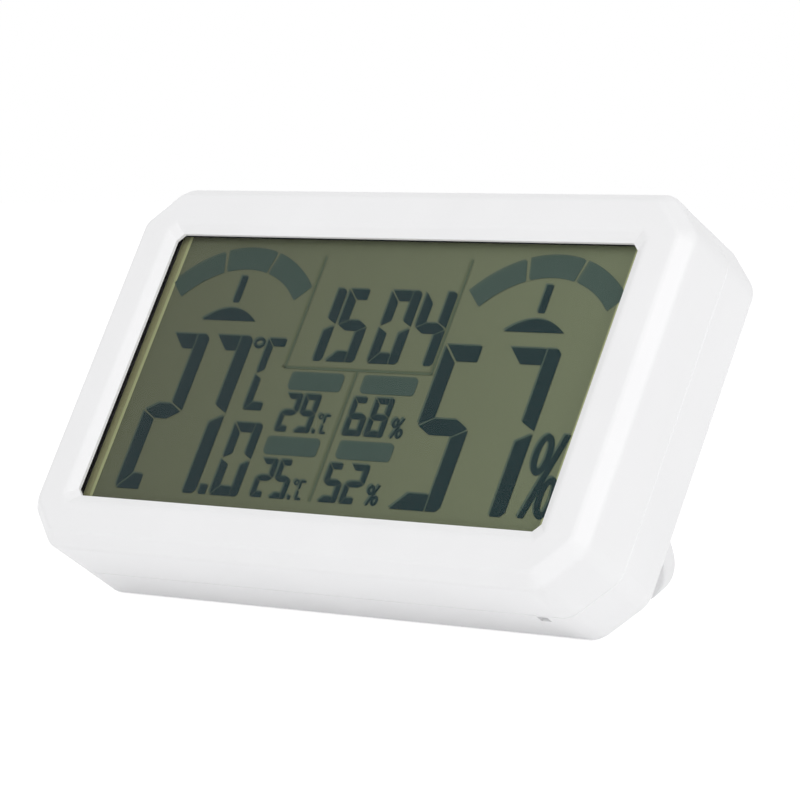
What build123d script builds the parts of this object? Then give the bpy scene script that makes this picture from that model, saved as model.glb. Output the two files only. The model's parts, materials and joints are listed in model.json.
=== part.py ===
from build123d import *
from math import acos, atan2, cos, degrees, hypot, radians, sin, tan
import os

# Desk hygrometer: a shallow white case that leans back on a fold-out frame, with a
# segment display, a battery bay and three buttons behind.
# The case is drawn as it is seen from the front: x to the right, y up along the face,
# and depth counted back from the face. One plane, face, leans it all back on the table.
# Across, the case's own width leads. Its height and depth follow from what it holds.

# Case
case_width = 110.0
front_depth = 11.0
corner_chamfer = 6.5
corner_round = 4.0
bevel = 2.0
bevel_soften = 1.2
bevel_turn = radians(45)
rear_round = 2.4
seam_chamfer = 0.15
side_wall = 1.8
rear_wall = 1.6
lean = radians(30.2)

# Lap joint between the two shells, and the pry notch beside it
lap_inset = 1.0
lap_length = 1.4
lap_clearance = 0.05
notch_from_side = 12.0
notch_width = 2.0
notch_height = 1.4
notch_from_seam = 0.4
notch_cut = 0.9

# Window in the front shell
window_border_x = 8.9
window_border_y = 8.7
window_corner = 1.2
rim_width = 1.75
rim_depth = 1.0
rim_soften = 2.0
lens_front = 1.5
lens_thickness = 1.0
lens_margin = 1.5
lens_clearance = 0.2

# Display stack behind the window
gasket_thickness = 0.2
gasket_width = 1.1
front_glass_thickness = 1.1
rear_glass_thickness = 1.1
glass_boss_gap = 0.3
contact_ledge = 2.0
strip_clearance = 0.1
strip_end_gap = 2.0
carrier_wall = 1.2
carrier_floor = 1.0
carrier_clearance = 0.1
carrier_boss_gap = 0.15

# Circuit board and what stands on it
board_thickness = 1.0
board_gap = 0.2
blob_radius = 5.5
blob_height = 1.6
blob_gap = 2.45
blob_switch_gap = 5.5
crystal_radius = 1.0
crystal_length = 6.0
crystal_gap = 3.5
capacitor_length = 1.6
capacitor_width = 0.8
capacitor_height = 0.8
capacitor_pitch_x = 5.0
capacitor_pitch_y = 3.0
capacitor_column_count = 5
capacitor_row_count = 2
capacitor_gap = 5.1
sensor_size = 3.0
sensor_height = 1.1
sensor_port_radius = 0.7
sensor_port_depth = 0.6
buzzer_radius = 6.0
buzzer_height = 5.5
buzzer_port_radius = 1.0
buzzer_port_depth = 2.8
side_drop = 2.4

# Screws
case_screw_drop = 6.8
case_boss_radius = 2.0
case_boss_over = 1.0
case_post_radius = 3.1
case_post_floor = 1.5
post_into_wall = 0.2
screw_radius = 1.0
screw_head_radius = 1.85
screw_head_height = 1.3
screw_clearance = 0.1
head_clearance = 0.2
screw_fit = 0.04
case_screw_length = 8.0
board_screw_x = 34.0
board_boss_radius = 1.9
board_screw_radius = 0.8
board_screw_head_radius = 1.6
board_screw_head_height = 1.1
board_screw_length = 3.5
board_head_gap = 0.25
cross_width = 0.5
cross_length = 2.0
cross_depth = 0.5

# Buttons on the back, each on its own switch
button_count = 3
button_pitch = 14.0
button_radius = 2.6
button_clearance = 0.08
recess_margin_x = 4.4
recess_margin_y = 2.1
recess_round = 3.0
recess_depth = 1.0
recess_gap = 2.25
button_below_back = 0.2
button_dish_radius = 9.0
button_dish_depth = 0.4
button_soften = 0.4
button_flange_radius = 3.4
button_flange_thickness = 1.0
button_stem_radius = 1.5
button_travel = 0.5
flange_gap = 0.1
switch_size = 6.0
switch_height = 3.5
plunger_radius = 1.7
plunger_clearance = 0.06
plunger_above = 2.0
plunger_inside = 1.2

# Battery bay, two slim cells side by side
cell_radius = 5.2
cell_length = 44.5
cell_button_radius = 1.9
cell_button_length = 0.9
cell_end_inset = 0.3
cell_gap = 0.6
cell_clearance = 0.25
contact_thickness = 0.3
contact_inset = 0.8
contact_round = 0.5
tab_width = 3.0
tab_clearance = 0.2
bay_wall = 1.0
bay_floor = 0.9
bay_board_gap = 0.1
divider_base = 2.4
divider_top = 0.6
divider_height = 1.8
divider_length = 30.0
spring_length = 3.0
spring_wire = 0.25
spring_wire_side_count = 6
spring_base_radius = 3.4
spring_tip_radius = 2.1
spring_turn_count = 2.5
spring_seat = 0.02

# Battery door
door_thickness = 1.4
door_clearance = 0.1
door_top_gap = 0.1
door_overlap = 1.3
door_soften = 0.35
door_skirt_depth = 1.6
door_skirt_thickness = 0.7
door_skirt_end_gap = 6.05
latch_width = 11.0
latch_slot = 0.8
latch_length = 6.0
hook_width = 5.5
thumb_radius = 5.0
thumb_depth = 1.6
grip_count = 4
grip_pitch = 2.2
grip_length = 15.0
grip_width = 0.9
grip_depth = 0.4

# Fold-out frame and its trench
frame_leg = 4.6
frame_foot = 6.0
frame_thickness = 3.2
frame_corner = 8.5
frame_inner_corner = 2.5
frame_edge_land = 0.05
frame_soften = 0.4
frame_tip_round = 1.2
foot_flat_height = 0.4
hinge_above_buttons = 5.0
hinge_pin_radius = 1.1
hinge_pin_length = 2.0
hinge_pin_clearance = 0.05
hinge_boss = 1.4
trench_gap = 0.35
trench_floor_gap = 0.2
trench_wall = 1.2
flush_gap = 0.2
scoop_radius = 7.5
scoop_depth = 3.0

# Openings in the back
vent_count = 5
vent_pitch = 2.6
vent_width = 1.4
vent_length = 14.0
sound_hole_radius = 0.7
sound_ring_radius = 3.0
sound_ring_count = 6
keyhole_gap = 1.3
keyhole_radius = 3.2
keyhole_slot_radius = 1.7
keyhole_rise = 3.6
keyhole_edge_gap = 4.1
keyhole_pocket_margin = 0.2
keyhole_pocket_depth = 2.6
keyhole_wall = 1.0

# How near two places have to be to count as one
near = 0.01

# Levels, as depths behind the face: the case is as deep as its display, board and cells
front_wall = lens_front + lens_thickness
glass_front = front_wall + gasket_thickness
ledge_level = glass_front + front_glass_thickness
glass_back = ledge_level + rear_glass_thickness
board_front = glass_back + carrier_floor
board_back = board_front + board_thickness
bay_outside = board_back + bay_board_gap
bay_inside = bay_outside + bay_floor
cell_level = bay_inside + cell_clearance + cell_radius
door_inside = cell_level + cell_radius + cell_clearance
case_depth = door_inside + door_thickness
inner_back = case_depth - rear_wall
hinge_level = case_depth - flush_gap - frame_thickness / 2
trench_level = hinge_level - frame_thickness / 2 - trench_floor_gap
post_front = front_depth + case_boss_over
post_seat = post_front + case_post_floor
recess_level = case_depth - recess_depth
recess_inside = recess_level - rear_wall
flange_top = recess_inside - flange_gap
switch_top = board_back + switch_height
plunger_top = switch_top + plunger_above

# Rises above the lower edge: the back carries, one over the other, the frame's foot,
# the battery bay, the row of buttons and the keyhole, which together give its height
bay_height = 4 * cell_radius + cell_gap + 2 * cell_clearance
recess_height = 2 * (button_radius + recess_margin_y)
foot_rise = rear_round + frame_edge_land + trench_gap
bay_rise = foot_rise + frame_foot + trench_gap + bay_wall
door_rise = bay_rise + bay_height + door_overlap
button_rise = door_rise + door_top_gap + thumb_radius + recess_gap + recess_height / 2
keyhole_lift = recess_height / 2 + keyhole_gap + keyhole_radius
case_height = (
    button_rise + keyhole_lift + keyhole_rise + keyhole_slot_radius + keyhole_edge_gap
)

# Places on the face, measured from its middle
case_bottom = -case_height / 2
bay_bottom = case_bottom + bay_rise
bay_top = bay_bottom + bay_height
lower_cell_y = bay_bottom + cell_clearance + cell_radius
upper_cell_y = lower_cell_y + 2 * cell_radius + cell_gap
cells_y = (upper_cell_y + lower_cell_y) / 2
door_top = case_bottom + door_rise
button_y = case_bottom + button_rise
keyhole_y = button_y + keyhole_lift
hinge_y = button_y + hinge_above_buttons
frame_length = hinge_y - case_bottom - foot_rise

# Across: the bay is as long as a cell with its spring, and the frame goes round it
bay_half_length = (cell_length + spring_length) / 2 + contact_thickness
contact_face = bay_half_length - contact_thickness
contact_middle = bay_half_length - contact_thickness / 2
trench_inner = bay_half_length + bay_wall
frame_half_width = trench_inner + trench_gap + frame_leg
recess_width = (button_count - 1) * button_pitch + 2 * (button_radius + recess_margin_x)

# Screws stand by the case's walls, and the glass fills the room between their bosses
case_screw_x = case_width / 2 - side_wall - case_post_radius + post_into_wall
case_screw_y = case_height / 2 - side_wall - case_screw_drop
board_screw_y = case_height / 2 - side_wall - board_head_gap - board_screw_head_radius
carrier_half_height = board_screw_y - board_boss_radius - carrier_boss_gap
glass_half_width = case_screw_x - case_boss_radius - glass_boss_gap
glass_half_height = carrier_half_height - carrier_wall - carrier_clearance
window_width = case_width - 2 * window_border_x
window_height = case_height - 2 * window_border_y

# Board: the sensor and the buzzer stand in the middle of the rooms beside the frame
side_room_inner = frame_half_width + trench_gap + trench_wall
side_x = (side_room_inner + case_width / 2 - side_wall) / 2
side_y = button_y - side_drop
blob_x = button_pitch + switch_size / 2 + blob_switch_gap + blob_radius
blob_y = bay_top + bay_wall + blob_gap + blob_radius
crystal_y = blob_y + blob_radius + crystal_gap + crystal_radius
capacitor_y = button_y + switch_size / 2 + capacitor_gap + capacitor_pitch_y / 2

# Where the case and the frame stand: both touch the table, and the origin is under the middle
rest_height = (
    (case_height / 2 - rear_round) * cos(lean)
    + (case_depth - rear_round) * sin(lean)
    + rear_round
)
hinge_height = rest_height + hinge_y * cos(lean) - hinge_level * sin(lean)
frame_angle = atan2(frame_thickness / 2, frame_length) + acos(
    (hinge_height + foot_flat_height) / hypot(frame_length, frame_thickness / 2)
)
opening_angle = lean + frame_angle
brow = case_height / 2 - bevel - bevel_soften * tan(bevel_turn / 2)
reach_forward = brow * sin(lean) - bevel_soften * cos(lean) + bevel_soften
reach_back = (
    hinge_level * cos(lean)
    + hinge_y * sin(lean)
    + (frame_thickness / 2 - frame_tip_round) * cos(frame_angle)
    + (frame_length - frame_tip_round) * sin(frame_angle)
    + frame_tip_round
)
face_y = (reach_forward - reach_back) / 2

# Heel above the hinge line of each leg, whose flat end meets the trench floor when open
heel_top = frame_thickness / 2 * (1 + cos(opening_angle)) / sin(opening_angle)
heel_reach = hypot(heel_top, frame_thickness / 2)

face = Plane(
    origin=(0, face_y, rest_height), x_dir=(1, 0, 0), z_dir=(0, -cos(lean), sin(lean))
)
forward = Axis(face.origin, face.z_dir)


def spot(x, y, depth):
    """Plane parallel to the face, x right and y up as seen from the front, at that spot."""
    return Plane(
        origin=face.from_local_coords((x, y, -depth)), x_dir=face.x_dir, z_dir=face.z_dir
    )


def behind(depth):
    """Plane parallel to the face at that depth, its origin behind the middle of the face."""
    return spot(0, 0, depth)


def end_on(x, y, depth):
    """Plane across the case at x, seen from the right: its x runs back and its y up."""
    return Plane(
        origin=face.from_local_coords((x, y, -depth)), x_dir=-face.z_dir, z_dir=face.x_dir
    )


def depth_of(shape):
    """Depth of a shape's centre behind the face."""
    return -face.to_local_coords(shape.center()).Z


def at_depth(depth):
    """Test for edges that lie at that depth."""
    return lambda edge: abs(depth_of(edge) - depth) < near


def case_outline(inset):
    """Octagonal outline of the case with softened corners, moved in by inset."""
    with BuildSketch() as outline:
        Rectangle(case_width, case_height)
        chamfer(outline.vertices(), corner_chamfer)
        fillet(outline.vertices(), corner_round)
        offset(amount=-inset)
    return outline.sketch


def window_outline(margin):
    """Window opening with cut corners, grown all round by margin."""
    with BuildSketch() as outline:
        Rectangle(window_width + 2 * margin, window_height + 2 * margin)
        chamfer(outline.vertices(), window_corner)
    return outline.sketch


def frame_outline(grow, top):
    """Fold-out frame seen square on, hinge line at y 0 and legs up to top, grown all round."""
    with BuildSketch() as outline:
        with Locations((0, (top - frame_length) / 2)):
            Rectangle(2 * frame_half_width, top + frame_length)
        fillet(outline.vertices().group_by(Axis.Y)[0], frame_corner)
        inner_height = top + frame_length - frame_foot
        with BuildSketch(mode=Mode.SUBTRACT) as inner:
            with Locations((0, top - inner_height / 2)):
                Rectangle(2 * (frame_half_width - frame_leg), inner_height)
            fillet(inner.vertices().group_by(Axis.Y)[0], frame_inner_corner)
        if grow > 0:
            offset(amount=grow, kind=Kind.INTERSECTION)
    return outline.sketch


def four_spots(x, y):
    """The four mirrored places of a point on the face."""
    return [(x, y), (-x, y), (-x, -y), (x, -y)]


case_screw_spots = four_spots(case_screw_x, case_screw_y)
board_screw_spots = four_spots(board_screw_x, board_screw_y)
tab_spots = [(-contact_middle, upper_cell_y), (-contact_middle, lower_cell_y)]


# Front shell
with BuildPart() as front_case:
    with BuildSketch(behind(front_depth)):
        add(case_outline(0))
    extrude(amount=front_depth)
    chamfer(front_case.edges().filter_by(at_depth(0)), bevel)
    fillet(front_case.edges().filter_by(at_depth(0)), bevel_soften)
    fillet(front_case.edges().filter_by(at_depth(bevel)), bevel_soften)
    chamfer(front_case.edges().filter_by(at_depth(front_depth)), seam_chamfer)
    with BuildSketch(behind(front_depth)):
        add(case_outline(side_wall))
    extrude(amount=front_depth - front_wall, mode=Mode.SUBTRACT)
    with BuildSketch(face):
        add(window_outline(rim_width))
    with BuildSketch(behind(rim_depth)):
        add(window_outline(0))
    loft(mode=Mode.SUBTRACT)
    with BuildSketch(behind(front_wall)):
        add(window_outline(0))
    extrude(amount=front_wall - rim_depth, mode=Mode.SUBTRACT)
    fillet(front_case.faces().sort_by(forward)[-1].inner_wires()[0].edges(), rim_soften)
    with BuildSketch(behind(front_wall)):
        Rectangle(window_width + 2 * (lens_margin + lens_clearance),
                  window_height + 2 * (lens_margin + lens_clearance))
    extrude(amount=lens_thickness, mode=Mode.SUBTRACT)
    with BuildSketch(behind(front_depth + lap_length)):
        add(case_outline(lap_inset))
        add(case_outline(side_wall), mode=Mode.SUBTRACT)
    extrude(amount=lap_length)
    with BuildSketch(behind(post_front)):
        with Locations(*case_screw_spots):
            Circle(case_boss_radius)
    extrude(amount=post_front - front_wall)
    with BuildSketch(behind(board_front)):
        with Locations(*board_screw_spots):
            Circle(board_boss_radius)
    extrude(amount=board_front - front_wall)
    with BuildSketch(behind(post_front)):
        with Locations(*case_screw_spots):
            Circle(screw_radius + screw_fit)
    extrude(amount=case_screw_length - case_post_floor, mode=Mode.SUBTRACT)
    with BuildSketch(behind(board_front)):
        with Locations(*board_screw_spots):
            Circle(board_screw_radius + screw_fit)
    extrude(amount=board_screw_length - board_thickness, mode=Mode.SUBTRACT)

# Rear shell
with BuildPart() as rear_case:
    with BuildSketch(behind(case_depth)):
        add(case_outline(0))
    extrude(amount=case_depth - front_depth)
    fillet(rear_case.edges().filter_by(at_depth(case_depth)), rear_round)
    chamfer(rear_case.edges().filter_by(at_depth(front_depth)), seam_chamfer)
    with BuildSketch(behind(inner_back)):
        add(case_outline(side_wall))
    extrude(amount=inner_back - front_depth, mode=Mode.SUBTRACT)

    # Trench housing, battery bay, and the raised floors under the recesses
    with BuildSketch(spot(0, hinge_y, inner_back)):
        add(frame_outline(trench_gap + trench_wall, heel_reach))
    extrude(amount=inner_back - trench_level + trench_wall)
    with BuildSketch(spot(0, cells_y, inner_back)):
        Rectangle(2 * trench_inner, bay_height + 2 * bay_wall)
    extrude(amount=inner_back - bay_outside)
    with BuildSketch(spot(0, button_y, inner_back)):
        RectangleRounded(recess_width + 2 * rear_wall, recess_height + 2 * rear_wall,
                         recess_round)
        with Locations((0, door_top - button_y)):
            Rectangle(2 * (thumb_radius + rear_wall), 2 * (thumb_radius + rear_wall))
    extrude(amount=inner_back - recess_inside)
    with BuildSketch(spot(0, cells_y, inner_back)):
        with Locations((frame_half_width, 0), (-frame_half_width, 0)):
            Circle(scoop_radius)
    extrude(amount=inner_back - trench_level + trench_wall)
    with BuildSketch(spot(0, hinge_y, inner_back)):
        boss_length = hinge_pin_length + trench_wall
        for side in (-1, 1):
            with Locations((side * (frame_half_width + trench_gap + boss_length / 2), 0)):
                Rectangle(boss_length, 2 * (hinge_pin_radius + hinge_boss))
    extrude(amount=inner_back - trench_level + trench_wall)
    pocket_radius = keyhole_radius + keyhole_pocket_margin
    with BuildSketch(spot(0, keyhole_y + keyhole_rise / 2, inner_back)):
        SlotCenterToCenter(keyhole_rise, 2 * (pocket_radius + keyhole_wall), rotation=90)
    extrude(amount=keyhole_pocket_depth + keyhole_wall)
    with BuildSketch(behind(inner_back)):
        with Locations(*case_screw_spots):
            Circle(case_post_radius)
    extrude(amount=inner_back - post_front)
    with BuildSketch(behind(front_depth + lap_length + lap_clearance)):
        add(case_outline(lap_inset - lap_clearance))
        add(case_outline(side_wall), mode=Mode.SUBTRACT)
    extrude(amount=lap_length + lap_clearance, mode=Mode.SUBTRACT)

    # Trench, bay, door seat and recesses, cut from behind
    with BuildSketch(spot(0, hinge_y, case_depth)):
        add(frame_outline(trench_gap, heel_reach))
    extrude(amount=case_depth - trench_level, mode=Mode.SUBTRACT)
    with BuildSketch(spot(0, cells_y, case_depth)):
        Rectangle(2 * bay_half_length, bay_height)
    extrude(amount=case_depth - bay_inside, mode=Mode.SUBTRACT)
    seat_bottom = bay_bottom - bay_wall
    seat_top = door_top + door_top_gap
    with BuildSketch(spot(0, (seat_top + seat_bottom) / 2, case_depth)):
        Rectangle(2 * trench_inner, seat_top - seat_bottom)
    extrude(amount=door_thickness, mode=Mode.SUBTRACT)
    with BuildSketch(spot(0, button_y, case_depth)):
        RectangleRounded(recess_width, recess_height, recess_round)
    extrude(amount=recess_depth, mode=Mode.SUBTRACT)
    with BuildSketch(spot(0, seat_top, case_depth)):
        Circle(thumb_radius)
        with Locations((0, -thumb_radius)):
            Rectangle(2 * thumb_radius, 2 * thumb_radius, mode=Mode.SUBTRACT)
    extrude(amount=thumb_depth, mode=Mode.SUBTRACT)
    dish_rise = (scoop_radius**2 + scoop_depth**2) / (2 * scoop_depth)
    with Locations(
        spot(frame_half_width, cells_y, case_depth - scoop_depth + dish_rise),
        spot(-frame_half_width, cells_y, case_depth - scoop_depth + dish_rise),
    ):
        Sphere(dish_rise, mode=Mode.SUBTRACT)

    # Divider ridge between the two cells
    with BuildSketch(end_on(0, cells_y, bay_inside)):
        with BuildLine():
            Polyline((0, -divider_base / 2), (divider_height, -divider_top / 2),
                     (divider_height, divider_top / 2), (0, divider_base / 2), close=True)
        make_face()
    extrude(amount=divider_length / 2, both=True)

    # Holes: hinge pins, screws, buttons, contact tabs, keyhole, vents and sound
    with BuildSketch(end_on(0, hinge_y, hinge_level)):
        Circle(hinge_pin_radius + hinge_pin_clearance)
    extrude(
        amount=frame_half_width + hinge_pin_length + hinge_pin_clearance,
        both=True,
        mode=Mode.SUBTRACT,
    )
    with BuildSketch(behind(case_depth)):
        with Locations(*case_screw_spots):
            Circle(screw_head_radius + head_clearance)
    extrude(amount=case_depth - post_seat, mode=Mode.SUBTRACT)
    with BuildSketch(behind(post_seat)):
        with Locations(*case_screw_spots):
            Circle(screw_radius + screw_clearance)
    extrude(amount=case_post_floor, mode=Mode.SUBTRACT)
    with BuildSketch(spot(0, button_y, case_depth)):
        with GridLocations(button_pitch, 0, button_count, 1):
            Circle(button_radius + button_clearance)
    extrude(amount=case_depth - recess_inside, mode=Mode.SUBTRACT)
    with BuildSketch(behind(bay_inside)):
        with Locations(*tab_spots):
            Rectangle(contact_thickness + 2 * tab_clearance, tab_width + 2 * tab_clearance)
    extrude(amount=bay_floor, mode=Mode.SUBTRACT)
    with BuildSketch(spot(0, keyhole_y, case_depth)):
        Circle(keyhole_radius)
        with Locations((0, keyhole_rise / 2)):
            SlotCenterToCenter(keyhole_rise, 2 * keyhole_slot_radius, rotation=90)
    extrude(amount=rear_wall, mode=Mode.SUBTRACT)
    with BuildSketch(spot(0, keyhole_y + keyhole_rise / 2, inner_back)):
        SlotCenterToCenter(keyhole_rise, 2 * pocket_radius, rotation=90)
    extrude(amount=keyhole_pocket_depth, mode=Mode.SUBTRACT)
    with BuildSketch(spot(side_x, side_y, case_depth)):
        with GridLocations(vent_pitch, 0, vent_count, 1):
            SlotOverall(vent_length, vent_width, rotation=90)
    extrude(amount=rear_wall, mode=Mode.SUBTRACT)
    with BuildSketch(spot(-side_x, side_y, case_depth)):
        Circle(sound_hole_radius)
        with PolarLocations(sound_ring_radius, sound_ring_count):
            Circle(sound_hole_radius)
    extrude(amount=rear_wall, mode=Mode.SUBTRACT)
    notch_x = case_width / 2 - notch_from_side
    notch_depth = front_depth + notch_from_seam + notch_height / 2
    with Locations(spot(notch_x, case_bottom, notch_depth)):
        Box(notch_width, 2 * notch_cut, notch_height, mode=Mode.SUBTRACT)

# Clear window, and the adhesive ring that holds the display glass to it
lens_width = window_width + 2 * lens_margin
lens_height = window_height + 2 * lens_margin
with BuildPart() as display_window:
    with BuildSketch(behind(front_wall)):
        Rectangle(lens_width, lens_height)
    extrude(amount=lens_thickness)

with BuildPart() as window_gasket:
    with BuildSketch(behind(glass_front)):
        Rectangle(lens_width, lens_height)
        Rectangle(lens_width - 2 * gasket_width, lens_height - 2 * gasket_width,
                  mode=Mode.SUBTRACT)
    extrude(amount=gasket_thickness)

# Display: the front glass overhangs the rear one above and below, and the overhang
# carries the contacts that two striped rubber strips join to the board
with BuildPart() as front_glass:
    with BuildSketch(behind(ledge_level)):
        Rectangle(2 * glass_half_width, 2 * glass_half_height)
    extrude(amount=front_glass_thickness)

with BuildPart() as rear_glass:
    with BuildSketch(behind(glass_back)):
        Rectangle(2 * glass_half_width, 2 * (glass_half_height - contact_ledge))
    extrude(amount=rear_glass_thickness)

strip_width = contact_ledge - 2 * strip_clearance
strip_length = 2 * (glass_half_width - strip_end_gap)
strip_y = glass_half_height - contact_ledge / 2
with BuildPart() as contact_strips:
    with BuildSketch(behind(board_front)):
        with Locations((0, strip_y), (0, -strip_y)):
            Rectangle(strip_length, strip_width)
    extrude(amount=board_front - ledge_level)

with BuildPart() as glass_carrier:
    pocket_width = 2 * (glass_half_width + carrier_clearance)
    pocket_height = 2 * (glass_half_height + carrier_clearance)
    with BuildSketch(behind(board_front)):
        Rectangle(pocket_width + 2 * carrier_wall, 2 * carrier_half_height)
        with Locations((0, strip_y), (0, -strip_y)):
            Rectangle(strip_length + strip_clearance, strip_width + strip_clearance,
                      mode=Mode.SUBTRACT)
        with Locations(*case_screw_spots):
            Circle(case_boss_radius + carrier_clearance, mode=Mode.SUBTRACT)
    extrude(amount=board_front - front_wall)
    with BuildSketch(behind(glass_back)):
        Rectangle(pocket_width, pocket_height)
    extrude(amount=glass_back - front_wall, mode=Mode.SUBTRACT)

# Circuit board
with BuildPart() as main_board:
    with BuildSketch(behind(board_back)):
        add(case_outline(side_wall + board_gap))
        with Locations(*case_screw_spots):
            Circle(case_boss_radius + board_gap, mode=Mode.SUBTRACT)
        with Locations(*board_screw_spots):
            Circle(board_screw_radius + screw_clearance, mode=Mode.SUBTRACT)
        with Locations(*tab_spots):
            Rectangle(contact_thickness + 2 * tab_clearance, tab_width + 2 * tab_clearance,
                      mode=Mode.SUBTRACT)
    extrude(amount=board_thickness)

with BuildPart() as controller_blob:
    with BuildSketch(end_on(blob_x, blob_y, board_back)):
        with BuildLine():
            blob_curve = (blob_radius**2 + blob_height**2) / (2 * blob_height)
            RadiusArc((0, blob_radius), (blob_height, 0), blob_curve)
            Polyline((blob_height, 0), (0, 0), (0, blob_radius))
        make_face()
    revolve(axis=Axis(spot(blob_x, blob_y, board_back).origin, face.z_dir))

with BuildPart() as humidity_sensor:
    with BuildSketch(spot(side_x, side_y, board_back + sensor_height)):
        Rectangle(sensor_size, sensor_size)
    extrude(amount=sensor_height)
    with BuildSketch(spot(side_x, side_y, board_back + sensor_height)):
        Circle(sensor_port_radius)
    extrude(amount=sensor_port_depth, mode=Mode.SUBTRACT)

with BuildPart() as timing_crystal:
    with BuildSketch(end_on(blob_x, crystal_y, board_back + crystal_radius)):
        Circle(crystal_radius)
    extrude(amount=crystal_length)

with BuildPart() as chip_capacitors:
    with BuildSketch(spot(0, capacitor_y, board_back + capacitor_height)):
        with GridLocations(capacitor_pitch_x, capacitor_pitch_y,
                           capacitor_column_count, capacitor_row_count):
            Rectangle(capacitor_length, capacitor_width)
    extrude(amount=capacitor_height)

with BuildPart() as buzzer:
    with BuildSketch(spot(-side_x, side_y, board_back + buzzer_height)):
        Circle(buzzer_radius)
    extrude(amount=buzzer_height)
    with BuildSketch(spot(-side_x, side_y, board_back + buzzer_height)):
        Circle(buzzer_port_radius)
    extrude(amount=buzzer_port_depth, mode=Mode.SUBTRACT)

# Switches: bodies on the board, each with a bore in which its plunger slides
with BuildPart() as switch_bodies:
    with BuildSketch(spot(0, button_y, switch_top)):
        with GridLocations(button_pitch, 0, button_count, 1):
            Rectangle(switch_size, switch_size)
    extrude(amount=switch_height)
    with BuildSketch(spot(0, button_y, switch_top)):
        with GridLocations(button_pitch, 0, button_count, 1):
            Circle(plunger_radius + plunger_clearance)
    extrude(amount=plunger_inside + 2 * button_travel, mode=Mode.SUBTRACT)


def make_plunger(x):
    """Round plunger that stands out of a switch at x."""
    with BuildPart() as plunger:
        with BuildSketch(spot(x, button_y, plunger_top)):
            Circle(plunger_radius)
        extrude(amount=plunger_above + plunger_inside)
    return plunger.part


def make_button(x):
    """Button with a dished cap, a flange inside the shell and a stem down to its switch."""
    cap_top = case_depth - button_below_back
    with BuildPart() as button:
        with BuildSketch(spot(x, button_y, cap_top)):
            Circle(button_radius)
        extrude(amount=cap_top - flange_top)
        fillet(button.edges().filter_by(at_depth(cap_top)), button_soften)
        with BuildSketch(spot(x, button_y, flange_top)):
            Circle(button_flange_radius)
        extrude(amount=button_flange_thickness)
        with BuildSketch(spot(x, button_y, flange_top)):
            Circle(button_stem_radius)
        extrude(amount=flange_top - plunger_top)
        with Locations(spot(x, button_y, cap_top - button_dish_depth + button_dish_radius)):
            Sphere(button_dish_radius, mode=Mode.SUBTRACT)
    return button.part


# Cells
def make_cell(y, end):
    """Slim round cell along x, its raised positive end at x = end side of the bay."""
    with BuildPart() as cell:
        can_length = cell_length - cell_button_length
        with BuildSketch(end_on(end * (contact_face - cell_length), y, cell_level)):
            Circle(cell_radius)
        extrude(amount=end * can_length)
        chamfer(cell.edges(), cell_end_inset)
        with BuildSketch(end_on(end * (contact_face - cell_button_length), y, cell_level)):
            Circle(cell_button_radius)
        extrude(amount=end * cell_button_length)
    return cell.part


# Contacts: flat plates at both ends of the bay, two of them with tabs down to the board
contact_size = 2 * (cell_radius - contact_inset)
with BuildPart() as bridge_contact:
    with BuildSketch(end_on(contact_face, cells_y, cell_level)):
        RectangleRounded(contact_size, upper_cell_y - lower_cell_y + contact_size,
                         contact_round)
    extrude(amount=contact_thickness)


def make_tab_contact(y):
    """End plate for one cell with a tab that reaches through the bay floor to the board."""
    with BuildPart() as contact:
        with BuildSketch(end_on(-bay_half_length, y, cell_level)):
            RectangleRounded(contact_size, contact_size, contact_round)
            tab_length = cell_level - board_front - contact_size / 2
            with Locations((-(contact_size + tab_length) / 2, 0)):
                Rectangle(tab_length, tab_width)
        extrude(amount=contact_thickness)
    return contact.part


def make_spring(y, end):
    """Conical contact spring that presses on a cell's flat end, its wide turn on the plate."""
    rise = spring_length - 2 * spring_wire - 2 * spring_seat
    foot = spot(end * (contact_face - spring_wire - spring_seat), y, cell_level).origin
    slope = degrees(atan2(spring_base_radius - spring_tip_radius, rise))
    with BuildPart() as spring:
        with BuildLine():
            coil = Helix(rise / spring_turn_count, rise, spring_base_radius, center=foot,
                         direction=(-end, 0, 0), cone_angle=-slope)
        with BuildSketch(Plane(origin=coil @ 0, z_dir=coil % 0)):
            RegularPolygon(spring_wire, spring_wire_side_count)
        sweep(path=coil)
    return spring.part


# Battery door, a plate over the whole bay with a springy latch at its top edge. Its lower
# corners are rounded to lie inside the frame's
with BuildPart() as battery_door:
    door_half_width = trench_inner - door_clearance
    door_bottom = seat_bottom + door_clearance
    door_y = (door_top + door_bottom) / 2
    with BuildSketch(spot(0, door_y, case_depth)) as door_plate:
        Rectangle(2 * door_half_width, door_top - door_bottom)
        fillet(door_plate.vertices().group_by(Axis.Y)[0],
               frame_inner_corner - trench_gap - door_clearance)
    extrude(amount=door_thickness)
    fillet(battery_door.edges().filter_by(at_depth(case_depth)), door_soften)
    skirt_inset = cell_clearance + door_skirt_thickness / 2
    with BuildSketch(spot(0, bay_bottom + skirt_inset, door_inside)):
        Rectangle(2 * (bay_half_length - door_skirt_end_gap), door_skirt_thickness)
    extrude(amount=door_skirt_depth)
    with BuildSketch(spot(0, bay_top - skirt_inset, door_inside)):
        with Locations((latch_width, 0), (-latch_width, 0)):
            Rectangle(hook_width, door_skirt_thickness)
    extrude(amount=door_skirt_depth)
    with BuildSketch(spot(0, door_top - latch_length / 2, case_depth)):
        with Locations((latch_width / 2, 0), (-latch_width / 2, 0)):
            Rectangle(latch_slot, latch_length)
    extrude(amount=door_thickness, mode=Mode.SUBTRACT)
    with BuildSketch(spot(0, door_y - grip_pitch, case_depth)):
        with GridLocations(0, grip_pitch, 1, grip_count):
            SlotOverall(grip_length, grip_width)
    extrude(amount=grip_depth, mode=Mode.SUBTRACT)

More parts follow.
